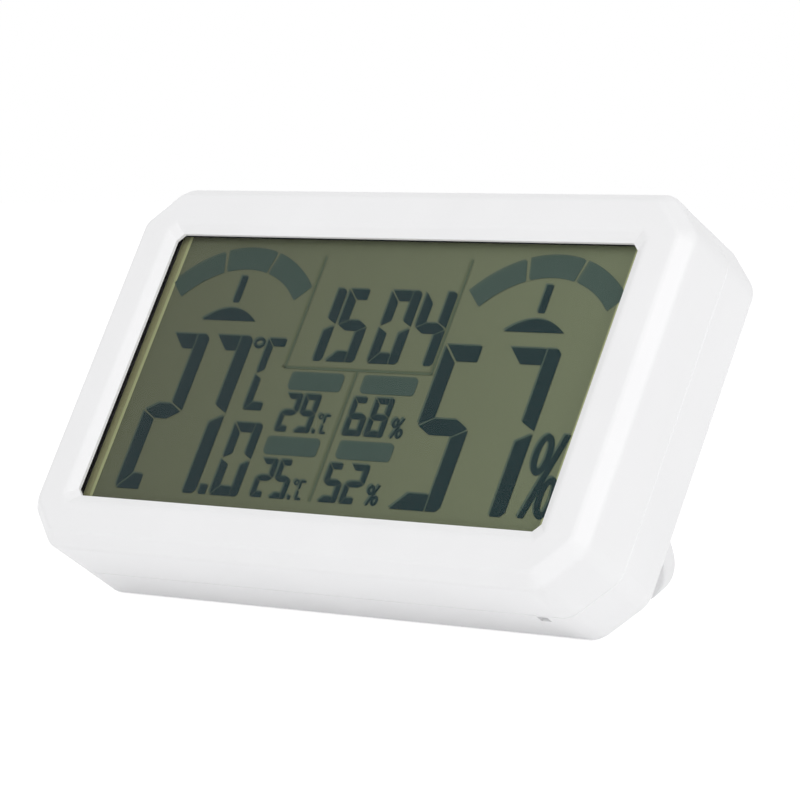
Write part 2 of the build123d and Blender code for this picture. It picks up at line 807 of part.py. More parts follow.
# Fold-out frame, open as it stands on the table, with its pins in the shell
hinge_spot = spot(0, hinge_y, hinge_level).origin
frame_face = Plane(
    origin=hinge_spot, x_dir=(1, 0, 0), z_dir=(0, -cos(frame_angle), -sin(frame_angle))
)
frame_side = Plane(origin=hinge_spot, x_dir=-frame_face.z_dir, z_dir=frame_face.x_dir)
half = frame_thickness / 2
stop_point = (-half * cos(opening_angle), half * sin(opening_angle))


def around_broad_faces(edge):
    """Test for the edges around the frame's two broad faces, apart from the leg ends."""
    middle = frame_face.to_local_coords(edge.center())
    return abs(abs(middle.Z) - half) < near and middle.Y < heel_top


with BuildPart() as kickstand:
    with BuildSketch(frame_face):
        add(frame_outline(0, heel_reach))
    extrude(amount=half, both=True)
    fillet(kickstand.edges().filter_by(around_broad_faces), frame_soften)
    with BuildSketch(frame_side) as side_view:
        with BuildLine():
            Polyline(
                stop_point,
                (half, heel_top),
                (half, -frame_length),
                (foot_flat_height / sin(frame_angle) - half, -frame_length),
                (-half, foot_flat_height / cos(frame_angle) - frame_length),
                (-half, 0),
            )
            RadiusArc((-half, 0), stop_point, half)
        make_face()
        tip = side_view.vertices().sort_by(Axis.Y)[:3].sort_by(Axis.X)[-1]
        fillet(tip, frame_tip_round)
    extrude(amount=frame_half_width, both=True, mode=Mode.INTERSECT)
    with BuildSketch(frame_side.offset(frame_half_width)):
        Circle(hinge_pin_radius)
    extrude(amount=hinge_pin_length)
    with BuildSketch(frame_side.offset(-frame_half_width)):
        Circle(hinge_pin_radius)
    extrude(amount=-hinge_pin_length)


# Screws
def make_screws(seat, places, radius, head_radius, head_height, length):
    """Four cross-head screws whose heads sit at the seat depth."""
    with BuildPart() as screws:
        with BuildSketch(behind(seat + head_height)):
            with Locations(*places):
                Circle(head_radius)
        extrude(amount=head_height)
        with BuildSketch(behind(seat)):
            with Locations(*places):
                Circle(radius)
        extrude(amount=length)
        with BuildSketch(behind(seat + head_height)):
            with Locations(*places):
                Rectangle(cross_length, cross_width)
                Rectangle(cross_width, cross_length)
        extrude(amount=cross_depth, mode=Mode.SUBTRACT)
    return screws.part


case_screws = make_screws(
    post_seat, case_screw_spots,
    screw_radius, screw_head_radius, screw_head_height, case_screw_length,
)
board_screws = make_screws(
    board_back, board_screw_spots,
    board_screw_radius, board_screw_head_radius, board_screw_head_height, board_screw_length,
)

pieces = {
    "front_case": front_case.part,
    "rear_case": rear_case.part,
    "display_window": display_window.part,
    "window_gasket": window_gasket.part,
    "front_glass": front_glass.part,
    "rear_glass": rear_glass.part,
    "contact_strips": contact_strips.part,
    "glass_carrier": glass_carrier.part,
    "main_board": main_board.part,
    "controller_blob": controller_blob.part,
    "humidity_sensor": humidity_sensor.part,
    "timing_crystal": timing_crystal.part,
    "chip_capacitors": chip_capacitors.part,
    "buzzer": buzzer.part,
    "switch_bodies": switch_bodies.part,
    "mode_plunger": make_plunger(-button_pitch),
    "up_plunger": make_plunger(0),
    "down_plunger": make_plunger(button_pitch),
    "mode_button": make_button(-button_pitch),
    "up_button": make_button(0),
    "down_button": make_button(button_pitch),
    "upper_cell": make_cell(upper_cell_y, -1),
    "lower_cell": make_cell(lower_cell_y, 1),
    "bridge_contact": bridge_contact.part,
    "positive_contact": make_tab_contact(upper_cell_y),
    "negative_contact": make_tab_contact(lower_cell_y),
    "upper_spring": make_spring(upper_cell_y, 1),
    "lower_spring": make_spring(lower_cell_y, -1),
    "battery_door": battery_door.part,
    "kickstand": kickstand.part,
    "case_screws": case_screws,
    "board_screws": board_screws,
}

os.makedirs("parts", exist_ok=True)
for name, piece in pieces.items():
    piece.label = name
    export_step(piece, f"parts/{name}.step")
print("case", case_width, "by", round(case_height, 3), "by", round(case_depth, 3))
print("rest height", round(rest_height, 3), "face y", round(face_y, 3))
print("hinge", [round(value, 4) for value in hinge_spot])
print("frame opens by", round(degrees(opening_angle), 2), "degrees")
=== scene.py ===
# %% [markdown]
# # A desk hygrometer with a segment display
#
# The white case, its fold-out frame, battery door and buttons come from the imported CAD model. This
# lesson dresses them: every node gets a finish, and the display gets its figures as thin meshes.

# %% Load the frame
import json

import bpy
import numpy as np
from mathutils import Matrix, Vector


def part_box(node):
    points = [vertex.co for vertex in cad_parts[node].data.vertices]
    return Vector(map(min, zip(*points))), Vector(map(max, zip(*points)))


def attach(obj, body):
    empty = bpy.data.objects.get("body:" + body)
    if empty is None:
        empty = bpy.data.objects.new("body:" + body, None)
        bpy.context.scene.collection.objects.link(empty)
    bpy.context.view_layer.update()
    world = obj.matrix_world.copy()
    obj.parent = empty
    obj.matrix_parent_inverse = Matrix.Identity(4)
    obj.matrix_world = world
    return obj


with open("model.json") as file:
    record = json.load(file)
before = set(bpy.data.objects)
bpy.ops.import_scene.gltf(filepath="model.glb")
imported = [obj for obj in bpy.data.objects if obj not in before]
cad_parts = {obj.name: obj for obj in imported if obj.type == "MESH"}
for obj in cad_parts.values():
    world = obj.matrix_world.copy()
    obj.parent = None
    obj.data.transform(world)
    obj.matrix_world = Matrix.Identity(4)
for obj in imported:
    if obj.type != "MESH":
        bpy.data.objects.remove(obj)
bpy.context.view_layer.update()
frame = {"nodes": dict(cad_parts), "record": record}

# %% [markdown]
# The face leans back, so places on it are easier to give in the face's own millimetres: x to the
# right, y up the face and a depth behind it. The mount on the rear face says which way is
# straight back, and the middle of the flat window's box lies on the axis through the face's middle.

# %% Places on the leaning face
MM = 0.001
mounts = {mount["name"]: mount for mount in frame["record"]["mounts"]}
back = np.array(mounts["back_face"]["axis"], float)
right = np.array([1.0, 0.0, 0.0])
upward = np.cross(right, back)
window_low, window_high = (np.array(corner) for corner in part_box("display_window"))
window_depth = 2.0
face_middle = (window_low + window_high) / 2 - back * window_depth * MM


def on_face(flat, depth):
    """Rows of x and y as metres: the face's middle, x times right, y times up, depth times back."""
    return face_middle + (flat[:, :1] * right + flat[:, 1:] * upward + depth * back) * MM


print("face middle", face_middle.round(5), "up", upward.round(4), "back", back.round(4))

# %% [markdown]
# The photograph was taken from the right with a long lens, a little above the table. The camera's
# place was found by fitting a pinhole camera to the straight edges of the case. It has no roll,
# so the direction that it looks in is enough to turn it.

# %% Camera
camera = bpy.data.objects.new("camera", bpy.data.cameras.new("camera"))
bpy.context.scene.collection.objects.link(camera)
camera.data.sensor_width = 36.0
camera.data.lens = 179.95
camera.data.clip_start = 0.01
camera.data.clip_end = 20.0
looking = Vector((-0.6482, 0.7588, -0.0640))
camera.rotation_mode = "QUATERNION"
camera.rotation_quaternion = looking.to_track_quat("-Z", "Y")
camera.location = (0.3961, -0.4662, 0.0710)
bpy.context.scene.camera = camera
bpy.context.scene.view_settings.view_transform = "Standard"
print("camera", tuple(round(v, 3) for v in camera.location), "lens", camera.data.lens)

# %% [markdown]
# Every finish is a small tree of nodes. One function adds a node with its settings, its values
# and its links. Another turns the sRGB colours that people write into the linear ones that the
# renderer counts in.

# %% Helpers for finishes
# A Mix node has sockets for each kind of value. These are the numbers of those for colours.
MIX_SHARE, MIX_A, MIX_B, MIX_RESULT = 0, 6, 7, 2


def linear(colour):
    """A hex colour in linear light: each sRGB value with its curve undone, and an alpha of 1."""
    values = np.array([int(colour[i:i + 2], 16) for i in (1, 3, 5)]) / 255
    light = np.where(values <= 0.04045, values / 12.92, ((values + 0.055) / 1.055) ** 2.4)
    return (*light.tolist(), 1.0)


def add(tree, kind, settings=(), values=(), links=()):
    """A new node with its settings and socket values. A link names a socket, and gives the node
    and the output that feed it."""
    node = tree.nodes.new(kind)
    for name, value in dict(settings).items():
        setattr(node, name, value)
    for name, value in dict(values).items():
        node.inputs[name].default_value = value
    for name, (source, output) in dict(links).items():
        tree.links.new(source.outputs[output], node.inputs[name])
    return node


def new_material(name):
    """A material with an empty tree, and that tree."""
    material = bpy.data.materials.new(name)
    material.use_nodes = True
    material.node_tree.nodes.clear()
    return material, material.node_tree


def finish(material, nodes):
    """Gives a material to every slot of the named CAD nodes."""
    for name in nodes:
        if not frame["nodes"][name].material_slots:
            frame["nodes"][name].data.materials.append(material)
        for slot in frame["nodes"][name].material_slots:
            slot.material = material
    print(material.name, "on", ", ".join(nodes))


print("middle grey in linear light", round(linear("#808080")[0], 3))

# %% [markdown]
# Most of the device is injection moulded plastic. Its mould was spark eroded, which leaves a fine
# even grit, so the plastic looks satin: its gloss is broken up, and hardly any bump shows. The
# grit of a real mould is about 0.05 mm, too fine for a render, so it is drawn up to six times as
# coarse and kept shallow. The tone changes slowly, over a centimetre or so, from how the melt
# flowed and cooled, and the gloss changes over a few millimetres, where hands have polished it.

# %% Moulded plastics
melt_flow_mm = 14.0
handling_mm = 3.0


def moulded_plastic(name, dark, light, gloss_low, gloss_high, grit_mm, grit_depth_mm, ior):
    """Colour from slow noise, roughness from middling noise and a bump of fine noise."""
    material, tree = new_material(name)
    where = add(tree, "ShaderNodeTexCoord")
    flow, handling, grit = (
        add(tree, "ShaderNodeTexNoise", values={"Scale": 1 / (size_mm * MM)},
            links={"Vector": (where, "Object")})
        for size_mm in (melt_flow_mm, handling_mm, grit_mm))
    tone = add(tree, "ShaderNodeMix", {"data_type": "RGBA"},
               {MIX_A: linear(dark), MIX_B: linear(light)}, {MIX_SHARE: (flow, "Fac")})
    gloss = add(tree, "ShaderNodeMapRange", values={"To Min": gloss_low, "To Max": gloss_high},
                links={"Value": (handling, "Fac")})
    bump = add(tree, "ShaderNodeBump", values={"Strength": 0.35, "Distance": grit_depth_mm * MM},
               links={"Height": (grit, "Fac")})
    shader = add(tree, "ShaderNodeBsdfPrincipled", values={"IOR": ior}, links={
        "Base Color": (tone, MIX_RESULT), "Roughness": (gloss, "Result"),
        "Normal": (bump, "Normal")})
    add(tree, "ShaderNodeOutputMaterial", links={"Surface": (shader, "BSDF")})
    return material


# ABS, spark eroded: a clean white with a soft sheen on its bevels.
white_abs = moulded_plastic(
    "white_abs_spark_eroded", "#F1F1F2", "#F7F7F8", 0.36, 0.46, 0.3, 0.008, 1.53)
finish(white_abs, ["front_case", "rear_case", "battery_door", "kickstand"])
# ABS, textured finer and tinted grey, so that the buttons tell themselves from the case.
grey_abs = moulded_plastic(
    "grey_abs_buttons", "#A2A6AA", "#ACB0B4", 0.32, 0.42, 0.25, 0.006, 1.53)
finish(grey_abs, ["mode_button", "up_button", "down_button"])
# Nylon and PBT of small electric parts: near black, matt.
black_nylon = moulded_plastic(
    "black_nylon_moulded", "#0F1011", "#1A1B1C", 0.5, 0.62, 0.2, 0.006, 1.53)
finish(black_nylon, ["buzzer", "switch_bodies", "mode_plunger", "up_plunger", "down_plunger"])
# Natural ABS of an inner part that nobody polishes: warm white, matt.
natural_abs = moulded_plastic(
    "natural_abs_carrier", "#D6D5CF", "#E0DFDA", 0.5, 0.6, 0.3, 0.01, 1.53)
finish(natural_abs, ["glass_carrier"])
# Sensor housing of liquid crystal polymer: off white, matt.
pale_polymer = moulded_plastic(
    "pale_polymer_sensor", "#DAD9D4", "#E6E5E1", 0.45, 0.55, 0.15, 0.004, 1.6)
finish(pale_polymer, ["humidity_sensor"])
# Sintered ceramic of chip capacitors: tan, slightly grainy.
tan_ceramic = moulded_plastic(
    "tan_ceramic_sintered", "#7E6344", "#927553", 0.4, 0.5, 0.12, 0.005, 1.7)
finish(tan_ceramic, ["chip_capacitors"])
# Epoxy poured over the chip: black, with the soft gloss of a drop that set by itself.
black_epoxy = moulded_plastic(
    "black_epoxy_poured", "#0B0B0C", "#141415", 0.16, 0.26, 0.8, 0.01, 1.55)
finish(black_epoxy, ["controller_blob"])
# Closed-cell foam tape: black, dull and pitted by its cells.
black_foam = moulded_plastic(
    "black_foam_tape", "#080808", "#161616", 0.85, 0.95, 0.2, 0.05, 1.4)
finish(black_foam, ["window_gasket"])

# %% [markdown]
# The metal pieces are small: contacts pressed from nickel plated strip, springs wound from wire
# with the same plate, zinc plated screws and a drawn can. Rolled and drawn metal has fine lines
# along one direction, made here by noise that is stretched ten times along x.

# %% Metals
line_mm = 0.25
stretch = (0.1, 1.0, 1.0)


def drawn_metal(name, dark, light, gloss_low, gloss_high):
    """A metal whose colour and roughness follow noise stretched along x, as drawing leaves it."""
    material, tree = new_material(name)
    where = add(tree, "ShaderNodeTexCoord")
    stretched = add(tree, "ShaderNodeMapping", values={"Scale": stretch},
                    links={"Vector": (where, "Object")})
    lines = add(tree, "ShaderNodeTexNoise", values={"Scale": 1 / (line_mm * MM)},
                links={"Vector": (stretched, "Vector")})
    tone = add(tree, "ShaderNodeMix", {"data_type": "RGBA"},
               {MIX_A: linear(dark), MIX_B: linear(light)}, {MIX_SHARE: (lines, "Fac")})
    gloss = add(tree, "ShaderNodeMapRange", values={"To Min": gloss_low, "To Max": gloss_high},
                links={"Value": (lines, "Fac")})
    shader = add(tree, "ShaderNodeBsdfPrincipled", values={"Metallic": 1.0}, links={
        "Base Color": (tone, MIX_RESULT), "Roughness": (gloss, "Result")})
    add(tree, "ShaderNodeOutputMaterial", links={"Surface": (shader, "BSDF")})
    return material


# Nickel plate on spring steel: warm silver, fairly bright.
nickel = drawn_metal("nickel_plated_strip", "#B9B4A8", "#D2CDC2", 0.18, 0.3)
finish(nickel, ["bridge_contact", "positive_contact", "negative_contact", "upper_spring",
                "lower_spring"])
# Zinc plate, clear passivated: cooler and duller.
zinc = drawn_metal("zinc_plated_steel", "#9A9DA1", "#B6B9BC", 0.28, 0.42)
finish(zinc, ["case_screws", "board_screws"])
# A drawn nickel silver can: even and satin.
can_metal = drawn_metal("drawn_can_metal", "#B4B4B2", "#CACAC8", 0.25, 0.35)
finish(can_metal, ["timing_crystal"])

# %% [markdown]
# Three finishes carry a pattern of their own: the board's solder mask over its copper, the
# striped rubber that links the glass to the board, and the printed film round the cells. A wave
# texture draws stripes. It turns twenty times as fast as its place times its scale, so one full
# stripe, a turn of 2 pi, needs a scale of 2 pi over twenty and over the stripes' pitch.

# %% Patterned finishes
wave_turning = 20.0


def patterned(name, kind, settings, output, scale, dark, light, roughness, ior):
    """Colour mixed from dark to light by one pattern on Object coordinates, with an even gloss."""
    material, tree = new_material(name)
    where = add(tree, "ShaderNodeTexCoord")
    pattern = add(tree, kind, settings, {"Scale": scale}, {"Vector": (where, "Object")})
    share = add(tree, "ShaderNodeMapRange", links={"Value": (pattern, output)})
    tone = add(tree, "ShaderNodeMix", {"data_type": "RGBA"},
               {MIX_A: linear(dark), MIX_B: linear(light)},
               {MIX_SHARE: (share, "Result")})
    shader = add(tree, "ShaderNodeBsdfPrincipled", values={"IOR": ior, "Roughness": roughness},
                 links={"Base Color": (tone, MIX_RESULT)})
    add(tree, "ShaderNodeOutputMaterial", links={"Surface": (shader, "BSDF")})
    return material


def stripe_scale(pitch_mm):
    """A wave texture's scale for one stripe in each pitch: 2 pi over its turning and the pitch."""
    return 2 * np.pi / wave_turning / (pitch_mm * MM)


# Solder mask: a green lacquer, glossy, lighter where copper areas of 2.5 mm lie under it.
copper_area_mm = 2.5
solder_mask = patterned(
    "green_solder_mask", "ShaderNodeTexVoronoi", {"distance": "CHEBYCHEV", "feature": "F1"},
    "Distance", 1 / (copper_area_mm * MM), "#0C3D22", "#175A33", 0.3, 1.5)
finish(solder_mask, ["main_board"])
# Silicone with layers of carbon: fine dark stripes across a dull red.
striped_rubber = patterned(
    "striped_silicone", "ShaderNodeTexWave", {"bands_direction": "X"}, "Fac", stripe_scale(0.5),
    "#3A2A2A", "#C76A5E", 0.7, 1.41)
finish(striped_rubber, ["contact_strips"])
# Shrunk film with printed bands: blue, deeper and paler by turns along the cell, glossy.
printed_film = patterned(
    "printed_shrink_film", "ShaderNodeTexWave", {"bands_direction": "X"}, "Fac", stripe_scale(24.0),
    "#14467A", "#2E6EA8", 0.22, 1.55)
finish(printed_film, ["upper_cell", "lower_cell"])

# %% [markdown]
# The window is clear cast acrylic with a low-glare coat. It could be made of refracting glass, but
# a flat 1 mm sheet hardly bends what lies close behind it, and refraction would keep the lamps
# from lighting the display. So it lets everything through, with a mirror mixed in: hardly any head
# on, and more at a glancing look, by the fifth power of one minus the cosine of the angle. A
# Fresnel node isn't used, as it mirrors everything on the way out of a sheet that doesn't bend.

# %% Clear window
clear_acrylic, tree = new_material("clear_acrylic_low_glare")
polish_mm = 6.0
glance_power = 5.0
head_on_share = 0.004
where = add(tree, "ShaderNodeTexCoord")
polish = add(tree, "ShaderNodeTexNoise", values={"Scale": 1 / (polish_mm * MM)},
             links={"Vector": (where, "Object")})
gloss = add(tree, "ShaderNodeMapRange", values={"To Min": 0.04, "To Max": 0.08},
            links={"Value": (polish, "Fac")})
mirror = add(tree, "ShaderNodeBsdfAnisotropic", values={"Color": linear("#FFFFFF")},
             links={"Roughness": (gloss, "Result")})
through = add(tree, "ShaderNodeBsdfTransparent", values={"Color": linear("#FBFCFB")})
facing = add(tree, "ShaderNodeLayerWeight", values={"Blend": 0.5})
steep = add(tree, "ShaderNodeMath", {"operation": "POWER"}, {1: glance_power},
            {0: (facing, "Facing")})
glance = add(tree, "ShaderNodeMapRange", values={"To Min": head_on_share, "To Max": 1.0},
             links={"Value": (steep, "Value")})
pane = add(tree, "ShaderNodeMixShader", links={
    0: (glance, "Result"), 1: (through, "BSDF"), 2: (mirror, "BSDF")})
add(tree, "ShaderNodeOutputMaterial", links={"Surface": (pane, "Shader")})
finish(clear_acrylic, ["display_window"])

# %% [markdown]
# Behind it lies the liquid crystal cell: two sheets of glass between polarisers, with a matt
# reflector. All of that reads as one olive grey ground with the reflector's faint grain. Shade
# is painted across it: darker to the left, lighter to the right. Polarisers hardly shine, so the
# specular level is low. The figures, their shadows and the seal are made the same way.

# %% Finishes of the display
display_half_width_mm = 46.0
grain_mm = 0.35


def display_finish(name, dark, light, grain):
    """Colour mixed by the place along x over the display's width, plus a share of fine noise."""
    material, tree = new_material(name)
    where = add(tree, "ShaderNodeTexCoord")
    parts = add(tree, "ShaderNodeSeparateXYZ", links={"Vector": (where, "Object")})
    # The mix along x is painted shade: darker to the left, lighter to the right.
    along = add(tree, "ShaderNodeMapRange", links={"Value": (parts, "X")}, values={
        "From Min": -display_half_width_mm * MM, "From Max": display_half_width_mm * MM})
    speckle = add(tree, "ShaderNodeTexNoise", values={"Scale": 1 / (grain_mm * MM)},
                  links={"Vector": (where, "Object")})
    grained = add(tree, "ShaderNodeMath", {"operation": "MULTIPLY_ADD"}, {1: grain},
                  {0: (speckle, "Fac"), 2: (along, "Result")})
    tone = add(tree, "ShaderNodeMix", {"data_type": "RGBA"},
               {MIX_A: linear(dark), MIX_B: linear(light)},
               {MIX_SHARE: (grained, "Value")})
    shader = add(tree, "ShaderNodeBsdfPrincipled",
                 values={"Specular IOR Level": 0.12, "Roughness": 0.55},
                 links={"Base Color": (tone, MIX_RESULT)})
    add(tree, "ShaderNodeOutputMaterial", links={"Surface": (shader, "BSDF")})
    return material


# In each finish below, the first colour is at the left and the second at the right. The step between
# them is painted shade.
olive_ground = display_finish("olive_reflector_glass", "#595C48", "#767C62", 0.12)
finish(olive_ground, ["front_glass", "rear_glass"])
# Liquid crystal, switched on: a dark teal that lets next to nothing through.
dark_crystal = display_finish("liquid_crystal_dark", "#0C2428", "#142D30", 0.15)
# The same in the labels and the gauges' blocks, which look paler from aslant.
pale_crystal = display_finish("liquid_crystal_pale", "#34453F", "#445650", 0.15)
# Thin rules hardly stop the light.
thin_crystal = display_finish("liquid_crystal_thin", "#485243", "#5A6651", 0.15)
# The shadow of the figures on the reflector: softer, and greener than the ground.
soft_shadow = display_finish("reflector_shadow", "#3E4B43", "#516055", 0.15)
faint_shadow = display_finish("reflector_faint_shadow", "#50563F", "#676E55", 0.15)
# Cured resin round the liquid crystal: browner than the ground.
seal_resin = display_finish("seal_resin_cured", "#8C8A68", "#98966F", 0.2)
# The cut edge of the polariser's film with a painted highlight along it: a pale olive.
edge_highlight_finish = display_finish("polariser_cut_edge_highlight", "#A6A980", "#B0B388", 0.1)

# %% [markdown]
# The figures are electrodes in the glass. Where they are switched on they turn the light off,
# so they look dark teal. They could be a texture, but as meshes they stay sharp at any size. Each
# figure has seven bars, named a to g in the usual order. The left ends of the flat bars are
# mitred, and the right bars run into the corners.

# %% Bars of a seven-bar figure
BARS = {"0": "abcdef", "1": "bc", "2": "abged", "4": "fgbc", "5": "afgcd", "6": "afgedc",
        "7": "abc", "8": "abcdefg", "9": "abfgcd", "C": "afed"}
gap_share = 0.09
cut_share = 0.28


def figure(sign, left, top, width, height, stroke):
    """Outlines of the lit bars, from the figure's width, height and stroke. A gap and a cut corner
    are shares of the stroke, and the middle bar lies at half the height."""
    w, h, t = width, height, stroke
    gap = gap_share * t
    cut = cut_share * t
    m = h / 2
    bars = {
        "a": [(gap, 0), (w - t - gap, 0), (w - t - gap, t), (t + gap, t)],
        "b": [(w - t, 0), (w - cut, 0), (w, cut), (w, m - gap), (w - t, m - t / 2 - gap)],
        "c": [(w - t, m + t / 2 + gap), (w, m + gap), (w, h - cut), (w - cut, h), (w - t, h)],
        "d": [(t + gap, h - t), (w - t - gap, h - t), (w - t - gap, h), (gap, h)],
        "e": [(0, m + gap), (t, m + t / 2 + gap), (t, h - t - gap), (0, h - gap)],
        "f": [(0, gap), (t, t + gap), (t, m - t / 2 - gap), (0, m - gap)],
        "g": [(gap, m), (t, m - t / 2), (w - t, m - t / 2), (w - gap, m), (w - t, m + t / 2),
              (t, m + t / 2)],
    }
    return [np.array([left, top]) + np.array(bars[bar]) * (1, -1) for bar in BARS[sign]]


# Each row of figures in mm: what it says, its left and top, one figure's width, height and
# stroke, and the pitch from one figure to the next.
rows = [
    ("27", -40.3, 6.4, 7.8, 27.2, 2.6, 9.25),
    ("57", 15.6, 6.4, 9.8, 27.2, 2.7, 12.1),
    ("0", -20.3, -8.4, 5.8, 12.4, 1.6, 0.0),
    ("C", -20.0, 6.2, 5.2, 12.4, 1.35, 0.0),
    ("15", -13.7, 15.2, 5.9, 12.5, 1.8, 6.5),
    ("04", 1.3, 15.2, 6.0, 12.5, 1.8, 6.9),
    ("29", -12.0, -3.0, 3.3, 6.5, 0.95, 3.75),
    ("25", -12.0, -14.1, 3.3, 6.5, 0.95, 3.75),
    ("68", 1.6, -3.0, 3.7, 6.5, 1.0, 4.3),
    ("52", 1.6, -14.1, 3.7, 6.5, 1.0, 4.3),
    ("C", -2.9, -6.2, 1.6, 3.3, 0.4, 0.0),
    ("C", -2.9, -17.3, 1.6, 3.3, 0.4, 0.0),
]
dark = [bar for text, left, top, width, height, stroke, pitch in rows
        for place, sign in enumerate(text)
        for bar in figure(sign, left + place * pitch, top, width, height, stroke)]
print(len(dark), "bars")

# %% [markdown]
# The rest of the display is made of strips. A strip is the grid between two lines of points, so
# bent, round and straight ones come from one function: a gauge's blocks lie between two arcs, a
# ring between two ovals, a dome between its base and a parabola, and a label between its edges.
# The blocks and labels are left plain. All places and sizes are in millimetres on the face.

# %% Strips


def strip(lower, upper):
    """Quads of the grid (1 - t) times lower plus t times upper, with t 0 and 1."""
    return list(np.stack([lower[:-1], lower[1:], upper[1:], upper[:-1]], axis=1))


def block(left, top, width, height):
    """A plain rectangle: the strip between its lower and its upper edge."""
    upper = np.array([(left, top), (left + width, top)])
    return strip(upper - (0, height), upper)


def ring(middle, half_width, half_height, stroke):
    """The strip between an oval and the same oval drawn in by the stroke: middle plus half the
    size times cosine and sine."""
    around = np.linspace(0, 2 * np.pi, 25)
    oval = np.stack([np.cos(around), np.sin(around)], axis=1)
    outer = middle + oval * (half_width, half_height)
    inner = middle + oval * (half_width - stroke, half_height - stroke)
    return strip(inner, outer)


def percent(left, top, width, height, stroke):
    """A percent sign: a ring at the upper left, one at the lower right and a slash between."""
    half_width = 0.26 * width
    half_height = 0.25 * height
    upper = ring((left + half_width, top - half_height), half_width, half_height, stroke)
    lower = ring((left + width - half_width, top - height + half_height), half_width, half_height,
                 stroke)
    ends = np.array([(left + 0.24 * width, top - height), (left + 0.76 * width, top)])
    return upper + lower + strip(ends + (stroke / 2, 0), ends - (stroke / 2, 0))


def label(left, top, width, height, radius):
    """The strip between the edges of a rectangle whose corners are quarter circles: each corner
    comes in by the radius times one minus the cosine, and down by it times one minus the sine."""
    turn = np.linspace(0, np.pi / 2, 6)
    inward = radius * (1 - np.cos(turn))
    downward = radius * (1 - np.sin(turn))
    across = np.concatenate([left + inward, left + width - inward[::-1]])
    drop = np.concatenate([downward, downward[::-1]])
    return strip(np.stack([across, top - height + drop], axis=1),
                 np.stack([across, top - drop], axis=1))


gauge_pivot_y = 1.7
gauge_inner, gauge_outer = 16.4, 20.1
block_angles = ((-47.0, -17.2), (-14.6, 14.6), (17.2, 47.0))
dome_half_width, dome_height, dome_base_y = 5.7, 2.2, 9.0


def gauge_blocks(x):
    """Three strips between two arcs round the pivot: radius times sine and cosine of the angle."""
    quads = []
    for start, stop in block_angles:
        turn = np.radians(np.linspace(start, stop, 13))
        arc = np.stack([np.sin(turn), np.cos(turn)], axis=1)
        quads += strip((x, gauge_pivot_y) + gauge_inner * arc,
                       (x, gauge_pivot_y) + gauge_outer * arc)
    return quads


def gauge_pointer(x):
    """A dome whose height is one minus the square of the way across, with a needle over it."""
    across = np.linspace(-1, 1, 25)
    base = np.stack([x + dome_half_width * across, np.full(25, dome_base_y)], axis=1)
    rise = np.stack([np.zeros(25), dome_height * (1 - across ** 2)], axis=1)
    return strip(base, base + rise) + block(x - 0.55, 16.9, 1.3, 4.7)


pale = []
for gauge_x in (-30.0, 31.0):
    pale += gauge_blocks(gauge_x)
    dark += gauge_pointer(gauge_x)
for label_left in (-12.4, 2.2):
    for label_top in (0.5, -10.5):
        pale += label(label_left, label_top, 10.5, 2.9, 0.6)
# Degree signs, decimal points and percent signs, large and small.
dark += ring((-21.6, 5.3), 1.15, 0.95, 0.5) + block(-22.6, -19.2, 1.5, 1.6)
dark += percent(38.8, -7.2, 6.8, 13.5, 1.15)
for small_row in (0.0, -11.1):
    dark += percent(10.6, -6.1 + small_row, 2.7, 3.4, 0.5)
    dark += ring((-3.6, -6.6 + small_row), 0.5, 0.5, 0.3)
    dark += block(-4.4, -8.8 + small_row, 0.6, 0.7)
# Rules beside, under and between the fields in the middle.
thin = block(-14.8, 20.8, 0.4, 19.6) + block(14.5, 20.8, 0.4, 19.6)
thin += block(-14.8, 1.6, 29.7, 0.4) + block(0.0, 1.2, 0.4, 21.9)
# The glass ends in a seal of resin, and before it comes the cut edge of the polariser as a pale
# strip of painted highlight.
seal = block(-47.6, 24.5, 2.7, 49.0) + block(44.9, 24.5, 2.7, 49.0)
edge = block(-45.0, 24.5, 0.6, 49.0) + block(44.4, 24.5, 0.6, 49.0)
print(len(dark), "dark faces,", len(pale), "pale faces,", len(thin), "rules")

# %% [markdown]
# All outlines of one finish become one mesh, with the points that neighbours share merged. Its
# faces are turned so that they look out through the window, and a Solidify modifier gives them
# the thickness of a coat of ink. The shadow is a copy up and to the left, which is how the real
# one, cast on the reflector behind, looks from the camera's side. All of it lies between the
# window and the glass, which are 0.2 mm apart.

# %% From outlines to meshes
ink_mm = 0.015
figure_depth = 2.62
edge_depth = 2.64
shadow_depth = 2.66
seal_depth = 2.68
figure_shift = (-0.42, 0.3)
rule_shift = (-0.5, 0.2)


def flat_piece(name, faces, depth, material, shift=(0.0, 0.0)):
    """Every outline moved by a shift, laid on the face at one depth and joined in one mesh. An
    outline is turned round where the sum of its cross products, twice its area, is negative."""
    areas = [np.sum(face[:, 0] * np.roll(face[:, 1], -1) - face[:, 1] * np.roll(face[:, 0], -1))
             for face in faces]
    turned = [face if area > 0 else face[::-1] for face, area in zip(faces, areas)]
    points, numbers = np.unique(np.concatenate(turned).round(5), axis=0, return_inverse=True)
    ends = np.cumsum([len(face) for face in turned])[:-1]
    loops = [list(dict.fromkeys(part.tolist())) for part in np.split(numbers.ravel(), ends)]
    mesh = bpy.data.meshes.new(name)
    mesh.from_pydata(on_face(points + shift, depth).tolist(), [], loops)
    mesh.materials.append(material)
    piece = bpy.data.objects.new(name, mesh)
    bpy.context.scene.collection.objects.link(piece)
    coat = piece.modifiers.new("coat", "SOLIDIFY")
    coat.thickness = ink_mm * MM
    coat.offset = -1.0
    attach(piece, "case")
    print(name, len(loops), "faces and", len(points), "points at", depth, "mm")


flat_piece("segment_figures", dark, figure_depth, dark_crystal)
flat_piece("segment_labels", pale, figure_depth, pale_crystal)
flat_piece("segment_rules", thin, figure_depth, thin_crystal)
flat_piece("segment_shadows", dark + pale, shadow_depth, soft_shadow, figure_shift)
flat_piece("rule_shadows", thin, shadow_depth, faint_shadow, rule_shift)
flat_piece("display_seal", seal, seal_depth, seal_resin)
# The pale strip along the polariser's cut edge is a painted highlight.
flat_piece("polariser_edge_highlight", edge, edge_depth, edge_highlight_finish)

